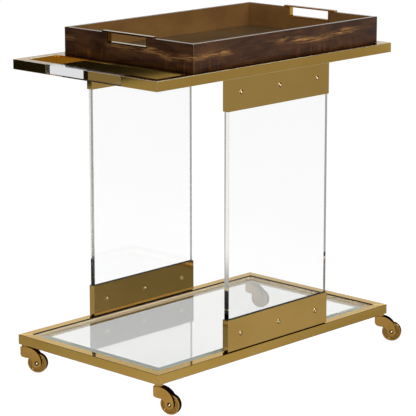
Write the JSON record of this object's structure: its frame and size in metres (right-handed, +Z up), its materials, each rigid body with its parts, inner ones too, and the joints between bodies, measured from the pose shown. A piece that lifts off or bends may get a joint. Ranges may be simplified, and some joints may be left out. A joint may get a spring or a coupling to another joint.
{
  "type": "bar cart",
  "caption": "Rectangular drinks trolley: brass tube frames on clear side panels, a glass shelf, a lift-off lacquered tray, a clear push handle and swivel casters.",
  "frame": {"origin": "on the floor, at the middle of the whole cart's bounding box", "axes": "+X from the push handle towards the other end, +Y across the cart, +Z up"},
  "size_m": [0.8846, 0.5444, 0.8723],
  "materials": {
    "frame_brass": "polished brass with a faint lengthwise brushing",
    "caster_brass": "polished solid brass with fine turning marks",
    "acrylic": "clear polished acrylic",
    "shelf_glass": "clear glass with a wide bevelled edge",
    "tray_lacquer": "figured dark brown veneer under high-gloss lacquer",
    "tray_lining": "satin bronze-brown lining"
  },
  "bodies": {
    "cart": {"lower_rail_front": "frame_brass", "lower_rail_back": "frame_brass", "lower_rail_left": "frame_brass", "lower_rail_right": "frame_brass", "upper_rail_front": "frame_brass", "upper_rail_back": "frame_brass", "upper_rail_right": "frame_brass", "cross_bar": "frame_brass", "handle_end_front": "frame_brass", "handle_end_back": "frame_brass", "handle_bar": "acrylic", "glass_shelf": "shelf_glass", "panel_front": "acrylic", "sleeve_lower_front": "frame_brass", "bolt_lower_front_1": "frame_brass", "bolt_lower_front_2": "frame_brass", "bolt_lower_front_3": "frame_brass", "sleeve_upper_front": "frame_brass", "bolt_upper_front_1": "frame_brass", "bolt_upper_front_2": "frame_brass", "bolt_upper_front_3": "frame_brass", "panel_back": "acrylic", "sleeve_lower_back": "frame_brass", "bolt_lower_back_1": "frame_brass", "bolt_lower_back_2": "frame_brass", "bolt_lower_back_3": "frame_brass", "sleeve_upper_back": "frame_brass", "bolt_upper_back_1": "frame_brass", "bolt_upper_back_2": "frame_brass", "bolt_upper_back_3": "frame_brass", "stem_front_left": "caster_brass", "stem_back_left": "caster_brass", "stem_front_right": "caster_brass", "stem_back_right": "caster_brass"},
    "tray": {"tray_base": "tray_lining", "tray_wall_front": "tray_lacquer", "tray_wall_back": "tray_lacquer", "tray_wall_left": "tray_lacquer", "tray_wall_right": "tray_lacquer", "tray_grip_left": "frame_brass", "tray_grip_right": "frame_brass"},
    "caster_front_left": {"fork_front_left": "caster_brass", "axle_front_left": "caster_brass"},
    "roller_front_left": {"wheel_front_left": "caster_brass"},
    "caster_back_left": {"fork_back_left": "caster_brass", "axle_back_left": "caster_brass"},
    "roller_back_left": {"wheel_back_left": "caster_brass"},
    "caster_front_right": {"fork_front_right": "caster_brass", "axle_front_right": "caster_brass"},
    "roller_front_right": {"wheel_front_right": "caster_brass"},
    "caster_back_right": {"fork_back_right": "caster_brass", "axle_back_right": "caster_brass"},
    "roller_back_right": {"wheel_back_right": "caster_brass"}
  },
  "joints": [
    {"name": "swivel_front_left", "type": "hinge", "parent": "cart", "child": "caster_front_left", "pos_m": [-0.42873, -0.21647, 0.06], "axis": [0, 0, 1], "continuous": true},
    {"name": "roll_front_left", "type": "hinge", "parent": "caster_front_left", "child": "roller_front_left", "pos_m": [-0.41778, -0.24654, 0.0254], "axis": [0.9397, 0.342, 0], "continuous": true},
    {"name": "swivel_back_left", "type": "hinge", "parent": "cart", "child": "caster_back_left", "pos_m": [-0.42873, 0.25853, 0.06], "axis": [0, 0, 1], "continuous": true},
    {"name": "roll_back_left", "type": "hinge", "parent": "caster_back_left", "child": "roller_back_left", "pos_m": [-0.41273, 0.23082, 0.0254], "axis": [0.866, 0.5, 0], "continuous": true},
    {"name": "swivel_front_right", "type": "hinge", "parent": "cart", "child": "caster_front_right", "pos_m": [0.40627, -0.21647, 0.06], "axis": [0, 0, 1], "continuous": true},
    {"name": "roll_front_right", "type": "hinge", "parent": "caster_front_right", "child": "roller_front_right", "pos_m": [0.4237, -0.24331, 0.0254], "axis": [0.8387, 0.5446, 0], "continuous": true},
    {"name": "swivel_back_right", "type": "hinge", "parent": "cart", "child": "caster_back_right", "pos_m": [0.40627, 0.25853, 0.06], "axis": [0, 0, 1], "continuous": true},
    {"name": "roll_back_right", "type": "hinge", "parent": "caster_back_right", "child": "roller_back_right", "pos_m": [0.41509, 0.22777, 0.0254], "axis": [0.9613, 0.2756, 0], "continuous": true},
    {"name": "tray_lift", "type": "slide", "parent": "cart", "child": "tray", "axis": [0, 0, 1], "range_m": [0, 0.15]}
  ]
}
